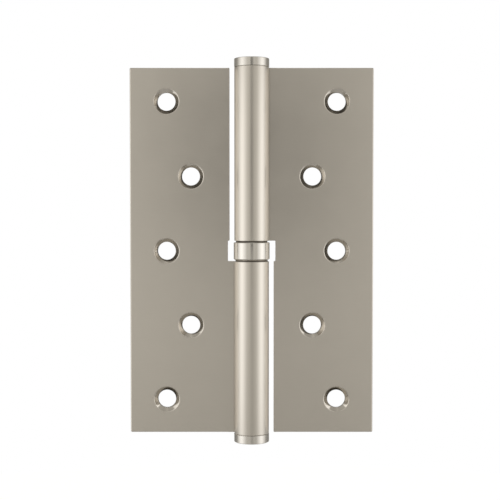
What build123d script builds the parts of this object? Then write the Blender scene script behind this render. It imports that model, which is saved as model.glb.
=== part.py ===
# Lift-off butt hinge with a caged ball thrust bearing, opened flat.
#
# Frame: origin on the pin axis at mid height, +Z up along the pin, +X towards the door leaf,
# +Y towards the faces that lie on the frame and the door. Millimetres.
# The frame leaf carries the lower knuckle, the fixed pin and the bearing. The door leaf carries the
# upper knuckle, turns about the pin and lifts off it. Both leaves are the same pressing.

from build123d import *
from math import acos, cos, degrees, pi, radians, sin, tan
import os

# Leaf pressing
leaf_height = 150.0
leaf_reach = 50.0
sheet = 3.0
leaf_gap = 2.4
corner_radius = 0.6
notch_radius = 0.3
edge_radius = 0.45

# Swage: the sheet bends back just before it curls round the pin
swage_angle = 30.0
swage_inner_radius = 2.0

# Knuckle and the clearances round it
seam_gap = 0.3
knuckle_side_gap = 2.0
ring_side_gap = 2.4
knuckle_chamfer = 0.25

# Countersunk screw holes: a column near the outer edge and one nearer the pin
screw_hole_diameter = 7.4
sink_diameter = 10.4
sink_angle = 90.0
sink_rounding = 0.8
outer_column_inset = 15.0
column_spacing = 10.0
end_hole_inset = 13.7

# Pin
pin_diameter = 8.1
running_clearance = 0.05
pin_free_length = 46.0
pin_nose = 2.0
pin_foot_chamfer = 0.6

# End caps
cap_overhang = 0.1
cap_height = 3.35
cap_edge_radius = 0.35
cap_seam = 0.12
cap_seam_depth = 0.35
cap_stem_length = 8.0
cap_stem_gap = 0.5
cap_stem_chamfer = 0.6

# Thrust bearing between the knuckles, with a groove left over and under its shell
bearing_space = 8.4
shell_groove = 0.55
shell_overhang = 0.3
shell_wall = 0.8
shell_top_chamfer = 0.25
shell_foot_chamfer = 0.5
race_running_gap = 0.15
race_edge_chamfer = 0.2
ball_diameter = 1.588
ball_count = 12
ball_play = 0.02
ball_track_depth = 0.3
ball_track_opening = 0.05
cage_face_gap = 0.16
cage_side_gap = 0.18
cage_pocket_play = 0.05

# Working values: how far a cutter runs past its work, how closely a found edge has to match,
# and the share of a short wall that the rounding at one of its ends may take
overrun = 1.0
match = 0.001
rounding_share = 0.45

# Sizes worked out from the ones above
leaf_half = leaf_height / 2
bearing_half = bearing_space / 2
pin_radius = pin_diameter / 2
bore_radius = pin_radius + running_clearance
knuckle_radius = bore_radius + sheet
cap_radius = knuckle_radius + cap_overhang
shell_radius = knuckle_radius + shell_overhang
shell_bore_radius = shell_radius - shell_wall
face_y = leaf_gap / 2
back_y = face_y + sheet
knuckle_edge_x = knuckle_radius + knuckle_side_gap
ring_edge_x = shell_radius + ring_side_gap
pitch_radius = (pin_radius + shell_bore_radius) / 2
ball_radius = ball_diameter / 2
race_gap = ball_diameter + 2 * (ball_play - ball_track_depth)


def swage_centre():
    """Centre of the swage bend, which lies behind the leaf."""
    y = back_y + swage_inner_radius
    slope = radians(swage_angle)
    x = (cos(slope) * y - knuckle_radius - swage_inner_radius) / sin(slope)
    return x, y


def seam_angle():
    """Angle about the pin at which the curl ends, just short of the leaf's face."""
    return 90.0 + swage_angle + degrees(acos((bore_radius - seam_gap) / knuckle_radius))


def sheet_surface(curl_radius, bend_radius):
    """One surface of the sheet in plan: flat leaf, swage bend, run to the knuckle, curl."""
    centre_x, centre_y = swage_centre()
    start = 90.0 + swage_angle
    sweep = seam_angle() - start - 360.0
    flat = Line((-leaf_reach, centre_y - bend_radius), (centre_x, centre_y - bend_radius))
    bend = CenterArc((centre_x, centre_y), bend_radius, 270.0, swage_angle)
    curl = CenterArc((0, 0), curl_radius, start, sweep)
    run = Line(bend @ 1, curl @ 0)
    return [flat, bend, run, curl]


def sheet_profile():
    """Section of the sheet square to the pin, from the outer edge to the end of the curl."""
    front = sheet_surface(bore_radius, swage_inner_radius + sheet)
    back = sheet_surface(knuckle_radius, swage_inner_radius)
    curl_end = Line(front[-1] @ 1, back[-1] @ 1)
    outer_edge = Line(front[0] @ 0, back[0] @ 0)
    return make_face(Wire(front + [curl_end, outer_edge] + back))


def blank_outline():
    """Outline of the whole pressing seen from the front, with the cut for the other knuckle."""
    beyond = knuckle_radius + overrun
    step = abs(ring_edge_x - knuckle_edge_x)
    points = [
        (-leaf_reach, -leaf_half),
        (beyond, -leaf_half),
        (beyond, -bearing_half),
        (-ring_edge_x, -bearing_half),
        (-ring_edge_x, bearing_half),
        (-knuckle_edge_x, bearing_half),
        (-knuckle_edge_x, leaf_half),
        (-leaf_reach, leaf_half),
    ]
    face = make_face(Polyline(*points, close=True))
    outer = face.vertices().group_by(Axis.X)[0]
    face = fillet(outer, corner_radius)
    notch = [v for v in face.vertices() if abs(v.Y) < bearing_half + match and v.X < 0]
    return fillet(notch, min(notch_radius, rounding_share * step))


def screw_places():
    """The five screw holes as (x, z), staggered over two columns."""
    outer_x = -(leaf_reach - outer_column_inset)
    inner_x = outer_x + column_spacing
    reach = leaf_half - end_hole_inset
    return [(outer_x if step % 2 == 0 else inner_x, step * reach / 2) for step in range(-2, 3)]


def countersink():
    """Cutter for one screw hole, with its mouth at y = 0 and its axis along +Y."""
    throat = screw_hole_diameter / 2
    mouth = sink_diameter / 2
    depth = (mouth - throat) / tan(radians(sink_angle / 2))
    widen = overrun * (mouth - throat) / depth
    points = [
        (0, -overrun),
        (mouth + widen, -overrun),
        (throat, depth),
        (throat, sheet + overrun),
        (0, sheet + overrun),
    ]
    return revolve(make_face(Polyline(*points, close=True)), Axis.Y)


def sink_rims(body):
    """Edges between the leaf's flat face and its countersinks."""
    circles = body.edges().filter_by(GeomType.CIRCLE)
    return [edge for edge in circles if abs(edge.radius - sink_diameter / 2) < match]


def sink_rim_radius():
    """Rounding of a countersink's mouth, as far as the length of its cone allows."""
    half = radians(sink_angle / 2)
    slope = (sink_diameter - screw_hole_diameter) / 2 / sin(half)
    return min(sink_rounding, rounding_share * slope / tan((pi / 2 - half) / 2))


def face_outline(body):
    """Edges of the leaf's flat face along its outer side and both ends."""
    face = body.faces().filter_by(Plane.XZ).sort_by(Axis.Y)[0]
    return [edge for edge in face.outer_wire().edges() if edge.center().X < -ring_edge_x - match]


def knuckle_rims(body):
    """Outer edges of the knuckle's two ends."""
    circles = body.edges().filter_by(GeomType.CIRCLE)
    return [edge for edge in circles if abs(edge.radius - knuckle_radius) < match]


def leaf():
    """The pressing with its knuckle below, as the frame leaf."""
    body = extrude(sheet_profile(), leaf_half, both=True)
    outline = Plane.XZ * blank_outline()
    body = body & extrude(outline, 2 * knuckle_radius, both=True)
    body = fillet(face_outline(body), edge_radius)
    body = chamfer(knuckle_rims(body), knuckle_chamfer)
    for x, z in screw_places():
        body = body - Pos(x, face_y, z) * countersink()
    return fillet(sink_rims(body), sink_rim_radius())


def cap():
    """Button cap on its pressed stem, seated on z = 0 and facing up."""
    shoulder = knuckle_radius - cap_seam_depth
    top = cap_seam + cap_height
    points = [
        (0, -cap_stem_length),
        (bore_radius - cap_stem_chamfer, -cap_stem_length),
        (bore_radius, cap_stem_chamfer - cap_stem_length),
        (bore_radius, 0),
        (shoulder, 0),
        (shoulder, cap_seam),
        (cap_radius, cap_seam),
        (cap_radius, top),
        (0, top),
    ]
    section = make_face(Polyline(*points, close=True))
    corner = section.vertices().sort_by_distance((cap_radius, top, 0))[0]
    return revolve(Plane.XZ * fillet(corner, cap_edge_radius), Axis.Z)


def pin():
    """The pin: pressed in the lower knuckle, a running fit above it, with a coned nose."""
    foot = cap_stem_length + cap_stem_gap - leaf_half
    tip = bearing_half + pin_free_length
    nose_radius = pin_radius - pin_nose / 2
    points = [
        (0, foot),
        (bore_radius - pin_foot_chamfer, foot),
        (bore_radius, foot + pin_foot_chamfer),
        (bore_radius, -bearing_half),
        (pin_radius, -bearing_half),
        (pin_radius, tip - pin_nose),
        (nose_radius, tip),
        (0, tip),
    ]
    return revolve(Plane.XZ * make_face(Polyline(*points, close=True)), Axis.Z)


def race(outer_radius):
    """Lower race: a collar on the knuckle with a ball groove in its upper face."""
    top = -race_gap / 2
    points = [
        (bore_radius, -bearing_half),
        (outer_radius, -bearing_half),
        (outer_radius, top - race_edge_chamfer),
        (outer_radius - race_edge_chamfer, top),
        (bore_radius, top),
    ]
    track_radius = ball_radius + ball_track_opening
    track = Pos(pitch_radius, top - ball_track_depth + track_radius) * Circle(track_radius)
    section = make_face(Polyline(*points, close=True)) - track
    return revolve(Plane.XZ * section, Axis.Z)


def shell():
    """The ring round the bearing, pressed on the lower race."""
    half = bearing_half - shell_groove
    points = [
        (shell_bore_radius, -half),
        (shell_radius - shell_foot_chamfer, -half),
        (shell_radius, shell_foot_chamfer - half),
        (shell_radius, half - shell_top_chamfer),
        (shell_radius - shell_top_chamfer, half),
        (shell_bore_radius, half),
    ]
    return revolve(Plane.XZ * make_face(Polyline(*points, close=True)), Axis.Z)


def ball_places():
    """Places of the balls round the pin."""
    return PolarLocations(pitch_radius, ball_count)


def cage():
    """Flat ring that spaces the balls, with one round pocket for each."""
    inner = pin_radius + cage_side_gap
    outer = shell_bore_radius - cage_side_gap
    pocket = Circle(ball_radius + cage_pocket_play)
    section = Circle(outer) - Circle(inner)
    section = section - [place * pocket for place in ball_places()]
    return extrude(section, race_gap / 2 - cage_face_gap, both=True)


def hinge():
    """Every piece of the hinge by name, in its place."""
    pressing = leaf()
    button = cap()
    pieces = {
        "frame_leaf": pressing,
        "door_leaf": pressing.rotate(Axis.Y, 180),
        "hinge_pin": pin(),
        "bottom_cap": Pos(0, 0, -leaf_half) * button.rotate(Axis.X, 180),
        "top_cap": Pos(0, 0, leaf_half) * button,
        "bearing_shell": shell(),
        "lower_race": race(shell_bore_radius),
        "upper_race": race(shell_bore_radius - race_running_gap).rotate(Axis.X, 180),
        "ball_cage": cage(),
    }
    for number, place in enumerate(ball_places(), start=1):
        pieces[f"ball_{number:02d}"] = place * Sphere(ball_radius)
    return pieces


os.makedirs("parts", exist_ok=True)
for name, piece in hinge().items():
    export_step(piece, f"parts/{name}.step")
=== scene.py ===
# Lift-off butt hinge with a ball bearing between its knuckles, opened flat.
# Finishes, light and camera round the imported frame. Metres, in the frame of the part.

from math import acos, atan2, cos, hypot, pi, radians, sin, tan

import bpy
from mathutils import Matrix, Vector
from mathutils.geometry import delaunay_2d_cdt


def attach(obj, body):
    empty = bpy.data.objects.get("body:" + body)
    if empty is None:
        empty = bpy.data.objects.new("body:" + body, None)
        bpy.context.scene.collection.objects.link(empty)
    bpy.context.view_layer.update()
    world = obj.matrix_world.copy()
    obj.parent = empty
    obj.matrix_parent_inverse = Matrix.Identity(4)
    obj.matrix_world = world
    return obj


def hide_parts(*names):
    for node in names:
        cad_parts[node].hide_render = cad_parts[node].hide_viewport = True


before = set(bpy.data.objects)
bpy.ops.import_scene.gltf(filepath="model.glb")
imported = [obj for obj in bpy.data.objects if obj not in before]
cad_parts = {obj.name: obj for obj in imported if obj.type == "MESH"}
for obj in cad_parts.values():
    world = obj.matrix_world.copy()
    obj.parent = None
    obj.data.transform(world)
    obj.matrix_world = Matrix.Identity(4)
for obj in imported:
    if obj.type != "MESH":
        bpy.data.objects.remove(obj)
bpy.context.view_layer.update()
mm = 0.001

# Camera, fitted to the screw holes and edges in the photograph
camera_distance = 443.7 * mm
camera_elevation = radians(1.95)
camera_aim = Vector((-0.68 * mm, 0.0, 0.42 * mm))
camera_lens = 77.85
camera_sensor = 36.0
camera_near = 10 * mm
camera_far = 20.0

# Room round the part: brightness against the angle from the camera's side, to the right, and against the
# height, both in degrees
white = (1.0, 1.0, 1.0)
room_colour = (1.0, 0.96, 0.875)
room_sides = [
    (-180, 0.80), (-160, 0.36), (-140, 0.32), (-122, 0.36), (-105, 0.50), (-90, 0.62), (-60, 0.70),
    (-28, 0.76), (0, 0.71), (28, 0.68), (60, 0.67), (90, 0.62), (105, 0.50), (122, 0.36), (140, 0.32),
    (160, 0.36), (180, 0.80),
]
room_heights = [
    (-90, 0.82), (-60, 0.51), (-35, 0.51), (-18, 0.87), (0, 1.0), (25, 1.0), (45, 0.78), (70, 0.70),
    (90, 0.90),
]

# Soft box on each side, close to the part: azimuth, height and level of its middle, how far its top leans
# over to the right, then its reach and how it fades out
soft_box_distance = 225 * mm
soft_boxes = {"left_box": (-68.0, -14 * mm, 1.0), "right_box": (70.0, -10 * mm, 1.0)}
soft_box_lean = 0.12
soft_box_reach = (190 * mm, 190 * mm)
soft_box_across = [(0.0, 1.0), (0.18, 0.90), (0.37, 0.62), (0.58, 0.40), (0.80, 0.12), (1.0, 0.0)]
soft_box_up = [(0.0, 1.0), (0.40, 0.98), (0.58, 0.90), (0.68, 0.62), (0.78, 0.20), (0.90, 0.03), (1.0, 0.0)]

# The white backdrop shows in the metal from here on round the back, in degrees
backdrop_from = 158.0
backdrop_full = 172.0

# What the camera and its stand leave in the reflections: middle, reach and cover, then brightness
front_y = -450 * mm
stand_middle = (20 * mm, 40 * mm)
stand_reach = (125 * mm, 300 * mm)
stand_cover = [(0.0, 0.43), (0.2, 0.38), (0.6, 0.16), (1.0, 0.0)]
stand_level = 0.25
lens_middle = (0 * mm, 64 * mm)
lens_reach = (74 * mm, 85 * mm)
lens_cover = [(0.0, 0.97), (0.60, 0.94), (0.85, 0.35), (1.0, 0.0)]
lens_level = 0.03
patch_ends = [(0.0, 1.0), (0.80, 1.0), (1.0, 0.0)]

# Floor, so far below the part that the metal shows the lamps down to its foot. Its paint takes light and
# shadow, and its own white makes up the rest. The metal shows that white from behind the part on, as it does
# the backdrop
floor_radius = 800 * mm
floor_height = -275 * mm
floor_paint = 0.80
floor_own_white = 0.66
floor_white_from = 150 * mm
floor_white_full = 300 * mm

# Pressing, in millimetres, as the solids have it, with a slightly wider and sharper countersink mouth
leaf_half = 75.0
leaf_reach = 50.0
sheet = 3.0
face_y = 1.2
back_y = 4.2
swage_angle = radians(30.0)
swage_inner = 2.0
swage_outer = 5.0
bore_radius = 4.1
knuckle_radius = 7.1
seam_gap = 0.3
knuckle_edge = -9.1
ring_edge = -9.8
bearing_half = 4.2
corner_radius = 0.6
notch_radius = 0.3
sink_mouth = 5.25
sink_throat = 3.7
sink_depth = 1.50
screws = [(-35.0, -61.3), (-25.0, -30.65), (-35.0, 0.0), (-25.0, 30.65), (-35.0, 61.3)]

# Caps and ring, in millimetres, as the solids have them, with a sharper edge on the caps and a seam that
# opens towards one side by the caps' lean, as far as the band of the rim reaches over and under its seat
cap_radius = 7.2
cap_seam = 0.12
cap_shoulder = 6.75
cap_height = 3.35
cap_stem = 8.0
cap_lean = 0.09
cap_rim_band = 0.1
stem_chamfer = 0.6
ring_radius = 7.4
ring_bore = 6.6
ring_half = 3.65
ring_top_chamfer = 0.25
ring_foot_chamfer = 0.5

# Rounding of each edge, in millimetres. The outline of the face has its own, which grows over a short way
# from the cut edge on, and the rim of the curl has its own, which grows over the end of the run to the
# knuckle
face_rounding = 0.45
face_rounding_from = -9.5
face_rounding_way = 0.8
edge_rounding = 0.14
cut_rounding = 0.26
cut_margin = 0.5
rim_rounding = 0.25
rim_rounding_way = 1.0
plain_corner = 0.28
mouth_rounding = 0.5
throat_rounding = 0.12
hole_back_rounding = 0.20
cap_rounding = 0.22
cap_foot_rounding = 0.06
cap_seam_rounding = 0.03
stem_root_rounding = 0.05
stem_rounding = 0.10
ring_bore_rounding = 0.05
ring_top_rounding = 0.06
ring_shoulder_rounding = 0.10
ring_foot_rounding = 0.08

# How the meshes are cut up, in millimetres and numbers of steps. The faces of the pressing are cut straight
# across at every station after the first two of the flat
flat_stations = [-45.0, -30.0, -15.0, -12.0, -10.6]
cut_stations = [-9.4, -9.25, -9.1, -8.6, -8.1, -7.75]
across_from = -15.5
bend_steps = 8
run_steps = 3
curl_steps = 168
curl_end_room = 1.2
rounding_steps = 5
corner_steps = 6
hole_points = 96
hole_collar = 0.45
lathe_points = 160
slope_step = 0.01
station_decimals = 4
weld_distance = 1e-6

# Colours of the metals, with painted shade for the bearing races and for the throats of the screw holes
nickel = (0.63, 0.597, 0.548)
polished_nickel = (0.65, 0.627, 0.592)
ring_nickel = (0.615, 0.593, 0.56)
ground_steel = (0.50, 0.49, 0.47)
bearing_steel = (0.62, 0.62, 0.61)
# Painted shade: near-black colour of the bearing races, standing in for the shade in the grooves round the
# ring
painted_race_shade = (0.11, 0.098, 0.085)
# Painted shade: dark colour of the screw holes' throats, standing in for the shade deep in the holes
painted_hole_shade = (0.16, 0.145, 0.125)
cage_brass = (0.62, 0.44, 0.18)

# Grain, patches and turning marks of the metals, per metre, and how much of the tone they carry
grain_scale = 1500.0
grain_detail = 4.0
grain_roughness = 0.6
patch_scale = 90.0
patch_detail = 3.0
tone_share = 1.2
turning_scale = 1000.0
turning_wobble = 1.5
turning_detail = 2.0

# Finish of each solid. The balls have the one that isn't named here
solid_finish = {
    "frame_leaf": "satin",
    "door_leaf": "satin",
    "hinge_pin": "pin",
    "bottom_cap": "cap",
    "top_cap": "cap",
    "bearing_shell": "ring",
    # The races' finish is near-black with painted shade of the grooves
    "lower_race": "race",
    "upper_race": "race",
    "ball_cage": "cage",
}


def colour(rgb):
    """Colour with full opacity."""
    return (*rgb, 1.0)


def node_tree(owner):
    """Emptied node tree of a material or the world."""
    owner.use_nodes = True
    tree = owner.node_tree
    tree.nodes.clear()
    return tree


def ramp(tree, factor, stops):
    """Soft grey colour ramp through (place, value) stops, given in order."""
    node = tree.nodes.new("ShaderNodeValToRGB")
    node.color_ramp.interpolation = "EASE"
    elements = node.color_ramp.elements
    elements[0].position = stops[0][0]
    elements[1].position = stops[-1][0]
    for place, _ in stops[1:-1]:
        elements.new(place)
    for element, (_, value) in zip(elements, stops):
        element.color = (value, value, value, 1.0)
    tree.links.new(factor, node.inputs["Fac"])
    return node.outputs["Color"]


def calc(tree, operation, first, second=None):
    """Math node on sockets or numbers."""
    node = tree.nodes.new("ShaderNodeMath")
    node.operation = operation
    for socket, value in zip(node.inputs, (first, second)):
        if value is None:
            continue
        if isinstance(value, (int, float)):
            socket.default_value = value
        else:
            tree.links.new(value, socket)
    return node.outputs[0]


def falloff(tree, distance, stops):
    """Ramp over a distance that may be longer than one, by its last stop."""
    reach = stops[-1][0]
    share = calc(tree, "DIVIDE", distance, reach)
    return ramp(tree, share, [(place / reach, value) for place, value in stops])


def angle_falloff(tree, angle, stops):
    """Ramp over an angle in degrees, whose first stop may be negative."""
    lowest = stops[0][0]
    shifted = calc(tree, "SUBTRACT", angle, lowest)
    return falloff(tree, shifted, [(place - lowest, value) for place, value in stops])


def degrees_of(tree, socket):
    """Angle socket turned from radians into degrees."""
    return calc(tree, "MULTIPLY", socket, 180.0 / pi)


def background(tree, rgb, strength=None):
    """Background shader of one colour, with its strength from a socket."""
    node = tree.nodes.new("ShaderNodeBackground")
    node.inputs["Color"].default_value = colour(rgb)
    node.inputs["Strength"].default_value = 1.0
    if strength is not None:
        tree.links.new(strength, node.inputs["Strength"])
    return node.outputs[0]


def white_share(tree, place, start, full):
    """Share of white that a ray shows: all to the camera, and to metal and glass from a place on."""
    rays = tree.nodes.new("ShaderNodeLightPath")
    mirrored = calc(tree, "MAXIMUM", rays.outputs["Is Glossy Ray"], rays.outputs["Is Transmission Ray"])
    behind = calc(tree, "DIVIDE", calc(tree, "SUBTRACT", place, start), full - start)
    behind = calc(tree, "MAXIMUM", calc(tree, "MINIMUM", behind, 1.0), 0.0)
    return calc(tree, "MAXIMUM", rays.outputs["Is Camera Ray"], calc(tree, "MULTIPLY", mirrored, behind))


def studio():
    """World: a plain room, and white behind the part."""
    world = bpy.data.worlds.new("studio")
    bpy.context.scene.world = world
    tree = node_tree(world)
    split = tree.nodes.new("ShaderNodeSeparateXYZ")
    tree.links.new(tree.nodes.new("ShaderNodeTexCoord").outputs["Generated"], split.inputs[0])
    x, y, z = split.outputs
    azimuth = degrees_of(tree, calc(tree, "ARCTAN2", x, calc(tree, "MULTIPLY", y, -1.0)))
    height = degrees_of(tree, calc(tree, "ARCSINE", z))
    around = angle_falloff(tree, azimuth, room_sides)
    over = angle_falloff(tree, height, room_heights)
    room = background(tree, room_colour, calc(tree, "MULTIPLY", around, over))
    shown = white_share(tree, calc(tree, "ABSOLUTE", azimuth), backdrop_from, backdrop_full)
    mix = tree.nodes.new("ShaderNodeMixShader")
    tree.links.new(shown, mix.inputs[0])
    tree.links.new(room, mix.inputs[1])
    tree.links.new(background(tree, white), mix.inputs[2])
    out = tree.nodes.new("ShaderNodeOutputWorld")
    tree.links.new(mix.outputs[0], out.inputs["Surface"])


def panel(name, corners, lights_matt):
    """Stage panel through four corners that the camera doesn't see, with its material's node tree.

    Gives the tree and the share of the way from the panel's middle to its edges, across and up.
    """
    mesh = bpy.data.meshes.new(name)
    mesh.from_pydata(corners, [], [(0, 1, 2, 3)])
    layer = mesh.uv_layers.new(name="UVMap")
    layer.data.foreach_set("uv", [0, 0, 1, 0, 1, 1, 0, 1])
    board = bpy.data.objects.new(name, mesh)
    bpy.context.scene.collection.objects.link(board)
    board.visible_camera = False
    board.visible_shadow = False
    board.visible_diffuse = lights_matt
    material = bpy.data.materials.new(name)
    tree = node_tree(material)
    split = tree.nodes.new("ShaderNodeSeparateXYZ")
    tree.links.new(tree.nodes.new("ShaderNodeTexCoord").outputs["UV"], split.inputs[0])
    shares = []
    for axis in (0, 1):
        doubled = calc(tree, "MULTIPLY", split.outputs[axis], 2.0)
        shares.append(calc(tree, "ABSOLUTE", calc(tree, "SUBTRACT", doubled, 1.0)))
    mesh.materials.append(material)
    return tree, shares


def emission(tree, rgb, strength):
    """Emission shader, with its strength a number or a socket."""
    node = tree.nodes.new("ShaderNodeEmission")
    node.inputs["Color"].default_value = colour(rgb)
    if isinstance(strength, (int, float)):
        node.inputs["Strength"].default_value = strength
    else:
        tree.links.new(strength, node.inputs["Strength"])
    return node.outputs[0]


def finish_panel(tree, kind, shader, share=None):
    """Lay a panel's shader over what is behind it: added to it, or mixed with it by a share."""
    clear = tree.nodes.new("ShaderNodeBsdfTransparent")
    both = tree.nodes.new(kind)
    if share is not None:
        tree.links.new(share, both.inputs[0])
    first = 0 if share is None else 1
    tree.links.new(clear.outputs[0], both.inputs[first])
    tree.links.new(shader, both.inputs[first + 1])
    out = tree.nodes.new("ShaderNodeOutputMaterial")
    tree.links.new(both.outputs[0], out.inputs["Surface"])


def front_patch(name, middle, reach, cover, level):
    """Soft dark patch in front of the part."""
    x, z = middle
    wide, high = reach
    corners = [(x - wide, z - high), (x + wide, z - high), (x + wide, z + high), (x - wide, z + high)]
    tree, shares = panel(name, [(across, front_y, up) for across, up in corners], False)
    covered = calc(tree, "MULTIPLY", ramp(tree, shares[0], cover), ramp(tree, shares[1], patch_ends))
    finish_panel(tree, "ShaderNodeMixShader", emission(tree, room_colour, level), covered)


def soft_box(name, azimuth, height, level):
    """Soft box that stands upright beside the part and fades out at its edges."""
    turn = radians(azimuth)
    middle = Vector((sin(turn), -cos(turn), 0.0)) * soft_box_distance + Vector((0.0, 0.0, height))
    across = Vector((cos(turn), sin(turn), 0.0)) * soft_box_reach[0]
    up = Vector((cos(turn) * soft_box_lean, sin(turn) * soft_box_lean, 1.0)) * soft_box_reach[1]
    corners = [middle - across - up, middle + across - up, middle + across + up, middle - across + up]
    tree, shares = panel(name, corners, True)
    glow = calc(tree, "MULTIPLY", ramp(tree, shares[0], soft_box_across), ramp(tree, shares[1], soft_box_up))
    light = emission(tree, white, calc(tree, "MULTIPLY", glow, level))
    finish_panel(tree, "ShaderNodeAddShader", light)


def floor():
    """Plain pale floor that takes the part's shadow."""
    mesh = bpy.data.meshes.new("floor")
    turns = [2 * pi * step / lathe_points for step in range(lathe_points)]
    rim = [(floor_radius * cos(turn), floor_radius * sin(turn), floor_height) for turn in turns]
    mesh.from_pydata(rim, [], [tuple(range(lathe_points))])
    ground = bpy.data.objects.new("floor", mesh)
    bpy.context.scene.collection.objects.link(ground)
    material = bpy.data.materials.new("floor")
    tree = node_tree(material)
    matt = tree.nodes.new("ShaderNodeBsdfDiffuse")
    matt.inputs["Color"].default_value = colour((floor_paint,) * 3)
    split = tree.nodes.new("ShaderNodeSeparateXYZ")
    tree.links.new(tree.nodes.new("ShaderNodeTexCoord").outputs["Object"], split.inputs[0])
    shown = white_share(tree, split.outputs["Y"], floor_white_from, floor_white_full)
    own_white = emission(tree, white, calc(tree, "MULTIPLY", shown, floor_own_white))
    both = tree.nodes.new("ShaderNodeAddShader")
    tree.links.new(matt.outputs[0], both.inputs[0])
    tree.links.new(own_white, both.inputs[1])
    out = tree.nodes.new("ShaderNodeOutputMaterial")
    tree.links.new(both.outputs[0], out.inputs["Surface"])
    mesh.materials.append(material)


def camera():
    """Camera of the photograph."""
    data = bpy.data.cameras.new("camera")
    data.lens = camera_lens
    data.sensor_width = camera_sensor
    eye = bpy.data.objects.new("camera", data)
    bpy.context.scene.collection.objects.link(eye)
    back = Vector((0.0, -cos(camera_elevation), sin(camera_elevation)))
    eye.location = camera_aim + back * camera_distance
    eye.rotation_mode = "QUATERNION"
    eye.rotation_quaternion = (-back).to_track_quat("-Z", "Y")
    data.clip_start = camera_near
    data.clip_end = camera_far
    bpy.context.scene.camera = eye


class Shape:
    """Mesh under construction, in millimetres, with its own normals and a material for each face."""

    def __init__(self):
        self.points = []
        self.normals = []
        self.faces = []
        self.slots = []

    def add(self, point, normal):
        """One point with its normal. Gives its number."""
        self.points.append(Vector(point))
        self.normals.append(Vector(normal).normalized())
        return len(self.points) - 1

    def face(self, corners, slot=0):
        """One face through the numbered points."""
        self.faces.append(corners)
        self.slots.append(slot)

    def strip(self, first, second, slot=0):
        """Closed band of four-sided faces between two loops of points."""
        count = len(first)
        for here in range(count):
            there = (here + 1) % count
            self.face((first[here], second[here], second[there], first[there]), slot)

    def turned(self):
        """Copy turned half round about Y."""
        other = Shape()
        other.points = [Vector((-p.x, p.y, -p.z)) for p in self.points]
        other.normals = [Vector((-n.x, n.y, -n.z)) for n in self.normals]
        other.faces = list(self.faces)
        other.slots = list(self.slots)
        return other

    def build(self, name, materials):
        """Blender object of the shape."""
        mesh = bpy.data.meshes.new(name)
        mesh.from_pydata([tuple(p * mm) for p in self.points], [], self.faces)
        for material in materials:
            mesh.materials.append(material)
        mesh.polygons.foreach_set("use_smooth", [True] * len(self.faces))
        mesh.polygons.foreach_set("material_index", self.slots)
        mesh.update()
        mesh.normals_split_custom_set_from_vertices([tuple(n) for n in self.normals])
        piece = bpy.data.objects.new(name, mesh)
        bpy.context.scene.collection.objects.link(piece)
        return piece


def rounded(corners):
    """Points and outward normals along an open profile whose corners are rounded.

    Each corner is (across, along, radius). The outside is on the left of the way along it.
    """
    places = [Vector(corner[:2]) for corner in corners]
    result = []
    last = len(places) - 1
    for number, (place, corner) in enumerate(zip(places, corners)):
        before = (place - places[number - 1]).normalized() if number > 0 else None
        after = (places[number + 1] - place).normalized() if number < last else None
        if before is None or after is None:
            way = after or before
            result.append((place, Vector((-way.y, way.x))))
            continue
        radius = corner[2]
        turn = atan2(before.x * after.y - before.y * after.x, before.dot(after))
        reach = radius * tan(abs(turn) / 2)
        start = Vector((-before.y, before.x))
        sign = -1.0 if turn > 0 else 1.0
        centre = place - before * reach - start * radius * sign
        for step in range(rounding_steps + 1):
            angle = turn * step / rounding_steps
            across = start.x * cos(angle) - start.y * sin(angle)
            along = start.x * sin(angle) + start.y * cos(angle)
            normal = Vector((across, along))
            result.append((centre + normal * radius * sign, normal))
    return result


def lathe(corners, closed=False):
    """Shape turned about Z from an outside profile of (radius, height, rounding)."""
    shape = Shape()
    if closed:
        corners = close_profile(corners)
    rings = []
    for place, normal in rounded(corners):
        if place.x < weld_distance:
            rings.append([shape.add((0, 0, place.y), (0, 0, normal.y))])
            continue
        ring = []
        for step in range(lathe_points):
            angle = 2 * pi * step / lathe_points
            ring.append(shape.add(
                (place.x * cos(angle), place.x * sin(angle), place.y),
                (normal.x * cos(angle), normal.x * sin(angle), normal.y),
            ))
        rings.append(ring)
    if closed:
        rings[-1] = rings[0]
    for upper, lower in zip(rings, rings[1:]):
        for here in range(lathe_points):
            there = (here + 1) % lathe_points
            if len(upper) == 1:
                shape.face((upper[0], lower[here], lower[there]))
            elif len(lower) == 1:
                shape.face((upper[here], lower[0], upper[there]))
            else:
                shape.face((upper[here], lower[here], lower[there], upper[there]))
    return shape


def close_profile(corners):
    """Closed profile as an open one that starts and ends midway along its last side."""
    first = corners[0]
    last = corners[-1]
    middle = ((first[0] + last[0]) / 2, (first[1] + last[1]) / 2, 0.0)
    return [middle, *corners, middle]


# Stations along the sheet, by its middle: flat to the swage bend, the bend, the run to the knuckle, the curl
swage_y = back_y + swage_inner
swage_x = (cos(swage_angle) * swage_y - knuckle_radius - swage_inner) / sin(swage_angle)
swage_way = Vector((sin(swage_angle), -cos(swage_angle)))
curl_start = pi / 2 + swage_angle
curl_way = Vector((cos(curl_start), sin(curl_start)))
curl_sweep = acos((bore_radius - seam_gap) / knuckle_radius) - 2 * pi
bend_length = swage_angle * (swage_inner + swage_outer) / 2
bend_end = swage_x + bend_length
swage_centre = Vector((swage_x, swage_y))
run_length = (curl_way * bore_radius - swage_centre - swage_way * swage_outer).length
run_end = bend_end + run_length
curl_length = abs(curl_sweep) * (bore_radius + knuckle_radius) / 2
sheet_end = run_end + curl_length


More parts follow.
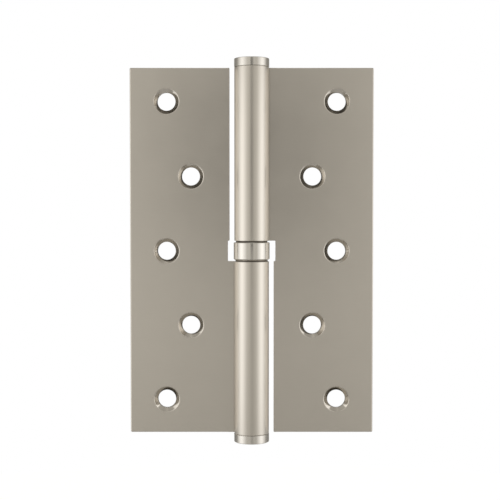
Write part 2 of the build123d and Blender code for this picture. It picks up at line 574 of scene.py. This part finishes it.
def station(s, depth):
    """Point of the sheet at a station along it and a depth under its front face."""
    if s <= swage_x:
        return Vector((s, face_y + depth))
    if s <= bend_end:
        angle = swage_angle * (s - swage_x) / bend_length
        return swage_centre + Vector((sin(angle), -cos(angle))) * (swage_outer - depth)
    if s <= run_end:
        start = swage_centre + swage_way * (swage_outer - depth)
        return start.lerp(curl_way * (bore_radius + depth), (s - bend_end) / run_length)
    angle = curl_start + curl_sweep * (s - run_end) / curl_length
    return Vector((cos(angle), sin(angle))) * (bore_radius + depth)


def sheet_way(s, depth):
    """Direction along the sheet at a station and a depth."""
    return (station(min(s + slope_step, sheet_end), depth) - station(s - slope_step, depth)).normalized()


def face_normal(s, front):
    """Outward normal of the front or back face at a station."""
    way = sheet_way(s, 0.0 if front else sheet)
    out = Vector((way.y, -way.x))
    inward = station(s, sheet) - station(s, 0.0)
    if (out.dot(inward) > 0) == front:
        out = -out
    return Vector((out.x, out.y, 0.0))


def side_normal(s, across, up):
    """Outward normal of a cut edge, from its direction in the developed sheet."""
    way = sheet_way(s, sheet / 2)
    return Vector((across * way.x, across * way.y, up))


def knuckle_stations():
    """Stations from the cut edge to the end of the curl."""
    bend = [swage_x + bend_length * step / bend_steps for step in range(bend_steps + 1)]
    run = [bend_end + run_length * step / run_steps for step in range(1, run_steps + 1)]
    curl = [run_end + curl_length * step / curl_steps for step in range(1, curl_steps)]
    return cut_stations + bend + run + [s for s in curl if s < sheet_end - curl_end_room * plain_corner]


def edge_roundings(s, on_cut):
    """Rounding radius of the front edge and of the back edge at a station of the outline."""
    front = cut_rounding if s < swage_x else edge_rounding
    if not on_cut and s < face_rounding_from:
        front += (face_rounding - cut_rounding) * min(1.0, (face_rounding_from - s) / face_rounding_way)
    back = edge_rounding
    rim_start = run_end - rim_rounding_way
    if s > rim_start:
        back += (rim_rounding - edge_rounding) * min(1.0, (s - rim_start) / rim_rounding_way)
    return front, back


def outline():
    """Developed outline of the pressing: station, height and outward direction of each point."""
    points = []

    def corner(s, z, first, radius, convex=True):
        """Rounded corner after a side that faces along the first direction."""
        sign = 1.0 if convex else -1.0
        second = Vector((-first.y, first.x)) * sign
        centre = Vector((s, z)) - (first + second) * radius * sign
        for step in range(corner_steps + 1):
            angle = pi / 2 * step / corner_steps
            out = first * cos(angle) + second * sin(angle)
            spot = centre + out * radius * sign
            points.append((spot.x, spot.y, out.x, out.y))

    down = Vector((0, -1))
    right = Vector((1, 0))
    up = Vector((0, 1))
    left = Vector((-1, 0))
    corner(-leaf_reach, -leaf_half, left, corner_radius)
    points.extend((s, -leaf_half, 0.0, -1.0) for s in flat_stations + knuckle_stations())
    corner(sheet_end, -leaf_half, down, plain_corner)
    corner(sheet_end, -bearing_half, right, plain_corner)
    points.extend((s, -bearing_half, 0.0, 1.0) for s in reversed(knuckle_stations()))
    corner(ring_edge, -bearing_half, up, notch_radius, convex=False)
    corner(ring_edge, bearing_half, right, notch_radius, convex=False)
    corner(knuckle_edge, bearing_half, down, notch_radius)
    corner(knuckle_edge, leaf_half, right, plain_corner)
    points.extend((s, leaf_half, 0.0, 1.0) for s in reversed(flat_stations))
    corner(-leaf_reach, leaf_half, up, corner_radius)
    return points


def inside(s, z, loop):
    """Whether a place is inside a closed loop of places."""
    within = False
    for (s1, z1), (s2, z2) in zip(loop, loop[1:] + loop[:1]):
        if (z1 > z) != (z2 > z) and s < s1 + (z - z1) * (s2 - s1) / (z2 - z1):
            within = not within
    return within


def ring_reach(ring, middle):
    """Radius of a hole's rim, inside the chords between its points."""
    place = ring[0][1]
    return hypot(place[0] - middle[0], place[1] - middle[1]) * cos(pi / len(ring))


def cap_face(shape, loop, holes, front):
    """Fill one face of the pressing between its outline and the rims of its holes.

    The loop and the rims are lists of point numbers with their places in the developed sheet.
    """
    numbers = [number for number, _ in loop]
    rim = [place for _, place in loop]
    flat = list(rim)
    edges = [(here, (here + 1) % len(loop)) for here in range(len(loop))]
    for _, ring in holes:
        first = len(flat)
        for number, place in ring:
            numbers.append(number)
            flat.append(place)
        edges.extend((first + here, first + (here + 1) % len(ring)) for here in range(len(ring)))
    same_station = {}
    for here, (s, _) in enumerate(rim):
        same_station.setdefault(round(s, station_decimals), []).append(here)
    edges.extend(tuple(ends) for s, ends in same_station.items() if len(ends) == 2 and s > across_from)
    places, _, faces, origin, _, _ = delaunay_2d_cdt([Vector(p) for p in flat], edges, [], 0, weld_distance)
    lookup = [numbers[source[0]] for source in origin]
    for corners in faces:
        s = sum(places[c].x for c in corners) / len(corners)
        z = sum(places[c].y for c in corners) / len(corners)
        if any(hypot(s - middle[0], z - middle[1]) < ring_reach(ring, middle) for middle, ring in holes):
            continue
        if not inside(s, z, rim):
            continue
        way = [lookup[c] for c in corners]
        a, b, c = (places[c] for c in corners[:3])
        turning = (b.x - a.x) * (c.y - a.y) - (b.y - a.y) * (c.x - a.x)
        if (turning > 0) != front:
            way.reverse()
        shape.face(tuple(way))


def edge_rows(shape):
    """Rows of points round the edge of the pressing, from the front face over the cut edge to the back."""
    border = outline()
    rows = []
    for front in (True, False):
        for step in range(rounding_steps + 1):
            turn = pi / 2 * step / rounding_steps if front else pi / 2 * (1 - step / rounding_steps)
            row = []
            for s, z, across, up in border:
                on_cut = abs(z) < leaf_half - plain_corner and s > ring_edge - cut_margin
                radius = edge_roundings(s, on_cut)[0 if front else 1]
                inset = radius * (1 - sin(turn))
                depth = radius * (1 - cos(turn))
                if not front:
                    depth = sheet - depth
                place = (s - across * inset, z - up * inset)
                spot = station(place[0], depth)
                face = face_normal(place[0], front)
                normal = face * cos(turn) + side_normal(place[0], across, up) * sin(turn)
                row.append((shape.add((spot.x, spot.y, place[1]), normal), place))
            rows.append(row)
    return rows


def screw_hole(shape, wall, x, z):
    """Wall of one screw hole. Gives its rim on the front face and its rim on the back face.

    The rounded mouth, the cone and the straight throat have a material each; the throat's is dark with
    painted shade of the hole's depth.
    """
    rings = []
    for place, normal in wall:
        ring = []
        for step in range(hole_points):
            angle = 2 * pi * step / hole_points
            spot = (x + place.x * cos(angle), z + place.x * sin(angle))
            number = shape.add(
                (spot[0], face_y + place.y, spot[1]),
                (normal.x * cos(angle), normal.y, normal.x * sin(angle)),
            )
            ring.append((number, spot))
        rings.append(ring)
    for row, (upper, lower) in enumerate(zip(rings, rings[1:])):
        slot = min(2, row // (rounding_steps + 1))
        shape.strip([number for number, _ in lower], [number for number, _ in upper], slot)
    return rings[0], rings[-1]


def pressing():
    """The leaf with its knuckle below, from its developed outline."""
    shape = Shape()
    rows = edge_rows(shape)
    for upper, lower in zip(rows, rows[1:]):
        shape.strip([number for number, _ in upper], [number for number, _ in lower])
    wall = rounded([
        (sink_mouth + hole_collar, 0.0, 0.0),
        (sink_mouth, 0.0, mouth_rounding),
        (sink_throat, sink_depth, throat_rounding),
        (sink_throat, sheet, hole_back_rounding),
        (sink_throat + hole_collar, sheet, 0.0),
    ])
    front_holes = []
    back_holes = []
    for x, z in screws:
        front_rim, back_rim = screw_hole(shape, wall, x, z)
        front_holes.append(((x, z), front_rim))
        back_holes.append(((x, z), back_rim))
    cap_face(shape, rows[0], front_holes, True)
    cap_face(shape, rows[-1], back_holes, False)
    return shape


def cap():
    """Button cap on its stem, over the upper knuckle."""
    seat = leaf_half + cap_seam
    top = seat + cap_height
    foot = leaf_half - cap_stem
    shape = lathe([
        (0.0, top, 0.0),
        (cap_radius, top, cap_rounding),
        (cap_radius, seat, cap_foot_rounding),
        (cap_shoulder, seat, cap_seam_rounding),
        (cap_shoulder, leaf_half, cap_seam_rounding),
        (bore_radius, leaf_half, stem_root_rounding),
        (bore_radius, foot + stem_chamfer, stem_rounding),
        (bore_radius - stem_chamfer, foot, stem_rounding),
        (0.0, foot, 0.0),
    ])
    for point in shape.points:
        if abs(point.z - seat) < cap_rim_band:
            point.z += cap_lean * point.x / cap_radius
    return shape


def bearing_ring():
    """Ring round the bearing."""
    return lathe([
        (ring_bore, ring_half, ring_bore_rounding),
        (ring_radius - ring_top_chamfer, ring_half, ring_top_rounding),
        (ring_radius, ring_half - ring_top_chamfer, ring_shoulder_rounding),
        (ring_radius, ring_foot_chamfer - ring_half, ring_foot_rounding),
        (ring_radius - ring_foot_chamfer, -ring_half, ring_foot_rounding),
        (ring_bore, -ring_half, ring_bore_rounding),
    ], closed=True)


def turning_marks(tree, place, height):
    """Height with fine rings round Z added to it, as a lathe tool leaves them on an end face."""
    rings = tree.nodes.new("ShaderNodeTexWave")
    rings.wave_type = "RINGS"
    rings.rings_direction = "Z"
    rings.inputs["Scale"].default_value = turning_scale
    rings.inputs["Distortion"].default_value = turning_wobble
    rings.inputs["Detail"].default_value = turning_detail
    tree.links.new(place, rings.inputs["Vector"])
    return calc(tree, "ADD", height, rings.outputs["Fac"])


def noise(tree, place, scale, detail):
    """Noise texture node at a place."""
    node = tree.nodes.new("ShaderNodeTexNoise")
    node.inputs["Scale"].default_value = scale
    node.inputs["Detail"].default_value = detail
    tree.links.new(place, node.inputs["Vector"])
    return node


def metal(name, base, roughness, grain, depth, blotch=0.02, tint=0.02, brushing=0.03, turned=False):
    """Plated metal: fine grain along one direction, soft patches and a slightly uneven tone.

    The grain is finer along an axis where its number is higher, and its depth is in millimetres. Blotch and
    brushing are how far patches and grain move the roughness, and tint is how far both move the colour.
    """
    material = bpy.data.materials.new(name)
    tree = node_tree(material)
    shader = tree.nodes.new("ShaderNodeBsdfPrincipled")
    shader.inputs["Metallic"].default_value = 1.0
    place = tree.nodes.new("ShaderNodeTexCoord").outputs["Object"]
    stretch = tree.nodes.new("ShaderNodeMapping")
    stretch.inputs["Scale"].default_value = grain
    tree.links.new(place, stretch.inputs["Vector"])
    lines = noise(tree, stretch.outputs[0], grain_scale, grain_detail)
    lines.inputs["Roughness"].default_value = grain_roughness
    patches = noise(tree, place, patch_scale, patch_detail)
    line = calc(tree, "SUBTRACT", lines.outputs["Fac"], 0.5)
    patch = calc(tree, "SUBTRACT", patches.outputs["Fac"], 0.5)
    line_change = calc(tree, "MULTIPLY", line, 2 * brushing)
    patch_change = calc(tree, "MULTIPLY", patch, 2 * blotch)
    uneven = calc(tree, "ADD", line_change, patch_change)
    tree.links.new(calc(tree, "ADD", uneven, roughness), shader.inputs["Roughness"])
    tone = tree.nodes.new("ShaderNodeMix")
    tone.data_type = "RGBA"
    tone.inputs["A"].default_value = colour([channel * (1 - tint) for channel in base])
    tone.inputs["B"].default_value = colour([channel * (1 + tint) for channel in base])
    line_tone = calc(tree, "MULTIPLY", line, tone_share)
    patch_tone = calc(tree, "MULTIPLY", patch, tone_share)
    mixed = calc(tree, "ADD", line_tone, patch_tone)
    tree.links.new(calc(tree, "ADD", mixed, 0.5), tone.inputs["Factor"])
    tree.links.new(tone.outputs["Result"], shader.inputs["Base Color"])
    if depth:
        bump = tree.nodes.new("ShaderNodeBump")
        bump.inputs["Strength"].default_value = 1.0
        bump.inputs["Distance"].default_value = depth * mm
        height = lines.outputs["Fac"]
        if turned:
            height = turning_marks(tree, place, height)
        tree.links.new(height, bump.inputs["Height"])
        tree.links.new(bump.outputs[0], shader.inputs["Normal"])
    out = tree.nodes.new("ShaderNodeOutputMaterial")
    tree.links.new(shader.outputs[0], out.inputs["Surface"])
    return material


def finishes():
    """Every metal of the hinge."""
    around = (0.2, 0.2, 2.5)
    even = (1.0, 1.0, 1.0)
    return {
        "satin": metal(
            "satin_nickel", nickel, roughness=0.31, grain=(0.12, 0.5, 2.2), depth=0.00035,
        ),
        "sink": metal(
            "countersink", nickel, roughness=0.08, grain=(0.3, 2.5, 0.3), depth=0.0003,
        ),
        # Throat walls of the screw holes, dark with painted shade
        "hole": metal(
            "hole_wall_painted_shade", painted_hole_shade, roughness=0.45, grain=(0.6, 2.0, 0.6), depth=0.002, tint=0.12,
        ),
        "cap": metal(
            "polished_cap", polished_nickel, roughness=0.14, grain=around, depth=0.0004, turned=True,
        ),
        "ring": metal(
            "polished_ring", ring_nickel, roughness=0.095, grain=around, depth=0.0002, blotch=0.01,
            brushing=0.015, turned=True,
        ),
        # Bearing races, near-black with painted shade of the grooves
        "race": metal(
            "race_painted_groove_shade", painted_race_shade, roughness=0.42, grain=around, depth=0.001, tint=0.10,
        ),
        "pin": metal(
            "ground_pin", ground_steel, roughness=0.20, grain=around, depth=0.0005, turned=True,
        ),
        "ball": metal(
            "bearing_ball", bearing_steel, roughness=0.07, grain=even, depth=0.0, blotch=0.01, brushing=0.02,
        ),
        "cage": metal(
            "brass_cage", cage_brass, roughness=0.28, grain=even, depth=0.0005, tint=0.05,
        ),
    }


def place_piece(shape, name, node, materials, body):
    """Build a piece, ride it on its body and let it stand for its solid."""
    piece = shape.build(name, materials)
    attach(piece, body)
    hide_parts(node)


def pieces(metals):
    """Every piece that gets a finer mesh than its solid."""
    leaf = pressing()
    steel = [metals["satin"], metals["sink"], metals["hole"]]
    place_piece(leaf, "left_leaf", "frame_leaf", steel, "frame_side")
    place_piece(leaf.turned(), "right_leaf", "door_leaf", steel, "door_side")
    button = cap()
    place_piece(button, "upper_button", "top_cap", [metals["cap"]], "door_side")
    place_piece(button.turned(), "lower_button", "bottom_cap", [metals["cap"]], "frame_side")
    place_piece(bearing_ring(), "ring", "bearing_shell", [metals["ring"]], "frame_side")


def dress(metals):
    """Finish the solids."""
    for name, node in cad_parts.items():
        node.data.materials.clear()
        node.data.materials.append(metals[solid_finish.get(name, "ball")])


def main():
    """The whole scene."""
    bpy.context.scene.view_settings.view_transform = "Standard"
    studio()
    front_patch("camera_stand", stand_middle, stand_reach, stand_cover, stand_level)
    front_patch("camera_lens", lens_middle, lens_reach, lens_cover, lens_level)
    for name, (azimuth, height, level) in soft_boxes.items():
        soft_box(name, azimuth, height, level)
    floor()
    metals = finishes()
    dress(metals)
    pieces(metals)
    camera()


main()
